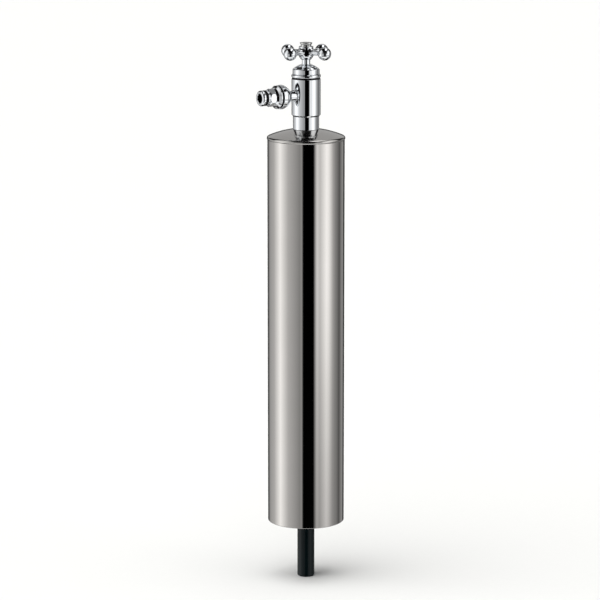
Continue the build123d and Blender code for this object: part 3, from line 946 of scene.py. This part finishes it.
outlet_gasket = turned(
    "outlet_gasket_rubber",
    eased(
        [
            (socket_radius, gasket_start, 0),
            (outlet_gasket_high.x, gasket_start, rubber_edge_round),
            (outlet_gasket_high.x, gasket_end, rubber_edge_round),
            (socket_radius, gasket_end, 0),
        ]
    ),
    outlet_place,
)
fit(outlet_gasket, "outlet_gasket", moulded_rubber)


# Hose nipple
# Turned from hexagon brass bar and chrome-plated: a thread into the bell, a shoulder with a cone, a spanner
# hexagon with turned corners, and the spigot, flange and land that a push-fit hose connector grips.
nipple_thread_start = -nipple_high.y
nipple_tip = -nipple_low.y
thread_end_chamfer = 0.8 * mm
shoulder_radius = nipple_high.x
shoulder_length = 1.1 * mm
cone_length = 1.8 * mm
cone_radius = 9.8 * mm
nipple_neck_radius = 8.7 * mm
nipple_neck_length = 2.2 * mm
hexagon_width = 16.6 * mm
hexagon_length = 6.5 * mm
hexagon_turned_radius = 9.3 * mm
hexagon_lead_share = 0.08
flange_gap = 0.6 * mm
flange_gap_radius = 7.2 * mm
spigot_radius = 8.1 * mm
flange_length = 1.8 * mm
ring_groove_length = 3.2 * mm
ring_groove_radius = 5.25 * mm
nose_round = 1.9 * mm
nipple_bore_radius = 4.75 * mm
mouth_chamfer = 0.5 * mm
nipple_edge_round = 0.25 * mm

cone_start = gasket_end + shoulder_length
nipple_neck_start = cone_start + cone_length
hexagon_start = nipple_neck_start + nipple_neck_length
hexagon_end = hexagon_start + hexagon_length
flange_start = hexagon_end + flange_gap
ring_groove_start = flange_start + flange_length
land_start = ring_groove_start + ring_groove_length

nipple_back = turned(
    "nipple_back",
    eased(
        [
            (nipple_bore_radius, nipple_thread_start, 0),
            (socket_radius, nipple_thread_start, thread_end_chamfer),
            (socket_radius, gasket_end, 0),
            (shoulder_radius, gasket_end, nipple_edge_round),
            (shoulder_radius, cone_start, nipple_edge_round),
            (cone_radius, nipple_neck_start, nipple_edge_round),
            (nipple_neck_radius, hexagon_start, 0),
            (nipple_bore_radius, hexagon_start, 0),
        ]
    ),
    outlet_place,
)

# Each flat of the hexagon is bounded by the cones that turn its corners off
hexagon_lead = hexagon_width * hexagon_lead_share
flat_radius = hexagon_width / 2
flat_turn = math.pi / 3
hexagon_steps = 192
hexagon_points = []
for step in range(hexagon_steps):
    angle = 2 * math.pi * step / hexagon_steps
    from_flat = (angle + flat_turn / 2) % flat_turn - flat_turn / 2
    reach = min(flat_radius / math.cos(from_flat), hexagon_turned_radius)
    lead = hexagon_lead * (reach - flat_radius) / (hexagon_turned_radius - flat_radius)
    across = Vector((math.cos(angle), math.sin(angle), 0))
    section = (
        (nipple_bore_radius, hexagon_start),
        (flat_radius, hexagon_start),
        (reach, hexagon_start + lead),
        (reach, hexagon_end - lead),
        (flat_radius, hexagon_end),
        (nipple_bore_radius, hexagon_end),
    )
    hexagon_points += [outlet_place @ (across * radius + Vector((0, 0, along))) for radius, along in section]
nipple_hexagon = mesh_piece("nipple_hexagon", hexagon_points, strip_faces(hexagon_steps, len(section)))

nipple_spigot = turned(
    "nipple_spigot",
    eased(
        [
            (nipple_bore_radius, hexagon_end, 0),
            (flange_gap_radius, hexagon_end, 0),
            (flange_gap_radius, flange_start, 0),
            (spigot_radius, flange_start, nipple_edge_round),
            (spigot_radius, ring_groove_start, nipple_edge_round),
            (ring_groove_radius, ring_groove_start, 0),
            (ring_groove_radius, land_start, 0),
            (spigot_radius, land_start, nipple_edge_round),
            (spigot_radius, nipple_tip, nose_round),
            (nipple_bore_radius + mouth_chamfer, nipple_tip, nipple_edge_round / 2),
            (nipple_bore_radius, nipple_tip - mouth_chamfer, 0),
        ]
    ),
    outlet_place,
)
hose_nipple = joined("hose_nipple_plated", [nipple_back, nipple_hexagon, nipple_spigot])
fit(hose_nipple, "hose_nipple", bright_chrome)

# Painted shade inside the bore: its faces are coloured a dull brownish black that stands in for the dark of
# the closed waterway, which the chrome would mirror
bore_painted_shade = metal(
    "bore_painted_shade",
    colour="1a1612",
    tint="100e0c",
    roughness_low=0.55,
    roughness_high=0.7,
    grain_scale=(400.0, 400.0, 400.0),
    grain_depth=0.005 * mm,
    cloud_size=3 * mm,
)
hose_nipple.data.materials.append(bore_painted_shade)
# The faces inside the bore's radius take the painted shade
for face in hose_nipple.data.polygons:
    if math.hypot(face.center.x, face.center.z - outlet_z) < nipple_bore_radius:
        face.material_index = 1


# Nipple O-ring
# A black rubber ring, rolled into the spigot's groove, that seals the connector.
ring_low, ring_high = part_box("nipple_o_ring")
ring_section_radius = (ring_high.y - ring_low.y) / 2
ring_centre_radius = ring_high.x - ring_section_radius
ring_middle = -(ring_high.y + ring_low.y) / 2
ring_steps = 24
ring_outline = arc((ring_centre_radius, ring_middle), ring_section_radius, 0, 2 * math.pi, ring_steps)[:-1]
nipple_o_ring = turned("nipple_o_ring_rubber", ring_outline, outlet_place)
fit(nipple_o_ring, "nipple_o_ring", moulded_rubber)


# Inner pieces
# The valve, its seals, the washers, the locknut and the fitting inside the column are turned brass, steel or
# moulded plastic, and are left as they are made.
turned_brass = metal(
    "turned_brass",
    colour="c9a24e",
    tint="b98f3f",
    roughness_low=0.22,
    roughness_high=0.34,
    grain_scale=(80.0, 80.0, 3000.0),
    grain_depth=0.003 * mm,
    cloud_size=12 * mm,
)
rolled_steel = metal(
    "rolled_steel",
    colour="b4b4b2",
    tint="a3a3a1",
    roughness_low=0.25,
    roughness_high=0.4,
    grain_scale=(900.0, 60.0, 900.0),
    grain_depth=0.002 * mm,
    cloud_size=8 * mm,
)
moulded_polyethylene = polymer(
    "moulded_polyethylene",
    colour="0e0f10",
    tint="191a1b",
    roughness_low=0.4,
    roughness_high=0.55,
    grain_scale=(1200.0, 1200.0, 1200.0),
    grain_depth=0.008 * mm,
    ior=1.51,
)
finish_of_slot = {
    "raw_brass": turned_brass,
    "spring_steel": rolled_steel,
    "black_polyethylene": moulded_polyethylene,
    "black_rubber": moulded_rubber,
    "pipe_pvc": extruded_pvc,
}
for node, slot in slot_of_node.items():
    if slot in finish_of_slot:
        inner_piece = frame["nodes"][node]
        inner_piece.data.materials.clear()
        inner_piece.data.materials.append(finish_of_slot[slot])


# Floor
# A wide sheet of matt white studio vinyl, on which the pipe's end stands.
floor_size = 60.0
floor_mesh = bpy.data.meshes.new("studio_floor")
floor_corners = [
    (x * floor_size / 2, y * floor_size / 2, pipe_low.z) for x, y in ((-1, -1), (1, -1), (1, 1), (-1, 1))
]
floor_mesh.from_pydata(floor_corners, [], [(0, 1, 2, 3)])
floor = in_scene("studio_floor", floor_mesh)
studio_vinyl = polymer(
    "studio_vinyl",
    colour="ececea",
    tint="e9e9e7",
    roughness_low=0.8,
    roughness_high=0.9,
    grain_scale=(300.0, 300.0, 300.0),
    grain_depth=0.01 * mm,
    ior=1.4,
)
floor_mesh.materials.append(studio_vinyl)
floor.visible_glossy = False


# Studio light
# The metals mirror a studio: grey walls and soft boxes all round, a dark gap where the camera stands, and a
# box overhead. Bearings are degrees from the camera, positive to its right, and heights are shares of a
# direction of length 1.
camera_bearing = math.radians(58.0)
toward_camera = Vector((math.sin(camera_bearing), -math.cos(camera_bearing), 0))
camera_right = Vector((math.cos(camera_bearing), math.sin(camera_bearing), 0))
wall_levels = (
    (-180, 0.06),
    (-158, 0.06),
    (-150, 0.16),
    (-140, 0.42),
    (-131, 0.50),
    (-112, 0.64),
    (-98, 1.00),
    (-84, 1.40),
    (-66, 0.92),
    (-55, 0.66),
    (-28, 0.42),
    (-18, 0.32),
    (-13, 0.42),
    (-9, 0.0),
    (23, 0.0),
    (33, 1.00),
    (42, 0.82),
    (64, 1.45),
    (72, 1.30),
    (80, 0.95),
    (88, 0.58),
    (98, 0.36),
    (107, 0.26),
    (119, 0.12),
    (130, 0.28),
    (143, 0.38),
    (151, 0.05),
    (180, 0.06),
)
upper_wall_levels = (
    (-180, 0.48),
    (-158, 0.48),
    (-150, 0.03),
    (-112, 0.03),
    (-104, 0.80),
    (-84, 0.95),
    (-70, 0.90),
    (-56, 0.75),
    (-44, 0.45),
    (-34, 0.08),
    (-18, 0.06),
    (-9, 0.02),
    (46, 0.02),
    (54, 1.00),
    (72, 1.20),
    (100, 1.00),
    (112, 0.03),
    (150, 0.03),
    (158, 0.48),
    (180, 0.48),
)
upper_wall_foot = 0.08
upper_wall_full = 0.20
wall_top = 0.54
wall_top_tilt = 0.12
wall_top_rise = 0.60
wall_top_right_rise = 0.20
wall_top_left_rise = 0.60
wall_foot = -0.68
wall_foot_tilt = -0.1
wall_edge = 0.05
dark_level = 0.004
box_level = 1.7
box_right = 0.30
box_half_width = 0.17
box_ahead = -0.05
box_half_depth = 0.4
box_edge = 0.07
box_foot = 0.5
box_full = 0.6
floor_light_level = 1.0
floor_light_edge = -0.69
floor_light_full = -0.75
floor_light_back = -0.1
floor_light_front = 0.2
shade_share = 0.47
shade_side = 0.6
shade_middle = 1.2
shade_top = (-0.17, -0.29)
shade_foot = (-0.55, -0.42)

world = bpy.data.worlds.new("studio")
bpy.context.scene.world = world
world.use_nodes = True
studio = world.node_tree
studio.nodes.clear()
direction = add_node(studio, "ShaderNodeTexCoord", {})


def share_along(axis):
    """How far a direction points along an axis."""
    return add_node(
        studio,
        "ShaderNodeVectorMath",
        {"operation": "DOT_PRODUCT", 1: axis},
        [(direction.outputs["Generated"], 0)],
    ).outputs["Value"]


def step_between(value, low, high):
    """A soft step from 0 at the low value to 1 at the high one."""
    return add_node(
        studio,
        "ShaderNodeMapRange",
        {"interpolation_type": "SMOOTHSTEP", "From Min": low, "From Max": high},
        [(value, "Value")],
    ).outputs["Result"]


def mixed(share, colour, other):
    """The colour, or the other one where the share is 1."""
    return add_node(
        studio, "ShaderNodeMix", {"data_type": "RGBA", 7: other}, [(share, "Factor"), (colour, 6)]
    ).outputs[2]


def product(value, other):
    """One share times another."""
    return add_node(studio, "ShaderNodeMath", {"operation": "MULTIPLY"}, [(value, 0), (other, 1)]).outputs[0]


def grey(level):
    """A neutral light of this level."""
    return (level, level, level, 1)


upright = Vector((0, 0, 1))
rightward = share_along(camera_right)
ahead = share_along(toward_camera)
upward = share_along(upright)
bearing = add_node(studio, "ShaderNodeMath", {"operation": "ARCTAN2"}, [(rightward, 0), (ahead, 1)])
turn_share = add_node(
    studio, "ShaderNodeMapRange", {"From Min": -math.pi, "From Max": math.pi}, [(bearing.outputs[0], "Value")]
)


def wall_light(levels):
    """The light of the walls all round, from its level at each bearing."""
    ramp = add_node(studio, "ShaderNodeValToRGB", {}, [(turn_share.outputs["Result"], "Fac")])
    while len(ramp.color_ramp.elements) < len(levels):
        ramp.color_ramp.elements.new(0.5)
    for stop, (degrees, level) in zip(ramp.color_ramp.elements, levels):
        stop.position = (degrees + 180) / 360
        stop.color = grey(level)
    return ramp.outputs["Color"]


studio_light = add_node(
    studio,
    "ShaderNodeMix",
    {"data_type": "RGBA"},
    [
        (step_between(upward, upper_wall_foot, upper_wall_full), "Factor"),
        (wall_light(wall_levels), 6),
        (wall_light(upper_wall_levels), 7),
    ],
).outputs[2]

# The walls end low on the camera's side, and they reach further up behind the object and on its left
top_height = share_along(upright + toward_camera * wall_top_tilt - camera_right * wall_top_right_rise)
for side, rise in ((ahead, wall_top_rise), (rightward, wall_top_left_rise)):
    far_side = add_node(studio, "ShaderNodeMath", {"operation": "MINIMUM", 1: 0.0}, [(side, 0)])
    top_height = add_node(
        studio,
        "ShaderNodeMath",
        {"operation": "MULTIPLY_ADD", 1: rise},
        [(far_side.outputs[0], 0), (top_height, 2)],
    ).outputs[0]
foot_height = share_along(upright + toward_camera * wall_foot_tilt)
above_walls = step_between(top_height, wall_top - wall_edge, wall_top + wall_edge)
below_walls = step_between(foot_height, wall_foot + wall_edge, wall_foot - wall_edge)
studio_light = mixed(above_walls, studio_light, grey(dark_level))
studio_light = mixed(below_walls, studio_light, grey(dark_level))

# A band of the walls low on the front right is in shade, which the foot of the column mirrors
front_right = step_between(share_along(camera_right + toward_camera), shade_side, shade_middle)
shade_height = product(step_between(upward, *shade_top), step_between(upward, *shade_foot))
shaded_part = add_node(
    studio,
    "ShaderNodeMath",
    {"operation": "MULTIPLY", 1: shade_share},
    [(product(front_right, shade_height), 0)],
)
studio_light = mixed(shaded_part.outputs[0], studio_light, grey(dark_level))

# On the camera's side the pale floor shines below the walls
floor_share = product(
    step_between(upward, floor_light_edge, floor_light_full),
    step_between(ahead, floor_light_back, floor_light_front),
)
studio_light = mixed(floor_share, studio_light, grey(floor_light_level))

# The soft box overhead is a rectangle, a little to the right
box_share = step_between(upward, box_foot, box_full)
for value, middle, half in ((rightward, box_right, box_half_width), (ahead, box_ahead, box_half_depth)):
    offset = add_node(studio, "ShaderNodeMath", {"operation": "SUBTRACT", 1: middle}, [(value, 0)])
    distance = add_node(studio, "ShaderNodeMath", {"operation": "ABSOLUTE"}, [(offset.outputs[0], 0)])
    box_share = product(box_share, step_between(distance.outputs[0], half + box_edge, half - box_edge))
studio_light = mixed(box_share, studio_light, grey(box_level))

# The camera itself sees a pale sheet behind the object
backdrop_colour = "fcfcfb"
ray = add_node(studio, "ShaderNodeLightPath", {})
seen = mixed(ray.outputs["Is Camera Ray"], studio_light, linear_colour(backdrop_colour))
background = add_node(studio, "ShaderNodeBackground", {"Strength": 1.0}, [(seen, "Color")])
add_node(studio, "ShaderNodeOutputWorld", {}, [(background.outputs["Background"], "Surface")])

# A wide soft lamp from the front left lights the floor and the plastic and is kept out of the mirrors
lamp_strength = 3.0
lamp_spread = math.radians(70)
lamp_ahead = 0.25
lamp_left = 0.3
lamp_data = bpy.data.lights.new("soft_lamp", "SUN")
lamp_data.energy = lamp_strength
lamp_data.angle = lamp_spread
lamp = in_scene("soft_lamp", lamp_data)
lamp_way = toward_camera * lamp_ahead - camera_right * lamp_left + upright
lamp.rotation_euler = lamp_way.to_track_quat("Z", "Y").to_euler()
lamp.visible_glossy = False
bpy.context.scene.view_settings.view_transform = "Standard"


# Camera
# It stands 58 degrees round from the outlet, a little above the column, and looks slightly down.
camera_distance = 2.9
camera_height = 0.8
camera_pitch = math.radians(11.0)
camera_left = 6.25 * mm
camera_range = 200.0
sensor_width = 36.0
image_width = 600
focal_pixels = 2830

camera_data = bpy.data.cameras.new("photo_camera")
camera_data.sensor_width = sensor_width
camera_data.lens = sensor_width * focal_pixels / image_width
camera_data.clip_end = camera_range
camera = in_scene("photo_camera", camera_data)
camera.location = toward_camera * camera_distance - camera_right * camera_left + upright * camera_height
looking = -toward_camera * math.cos(camera_pitch) - upright * math.sin(camera_pitch)
camera.rotation_euler = looking.to_track_quat("-Z", "Y").to_euler()
bpy.context.scene.camera = camera
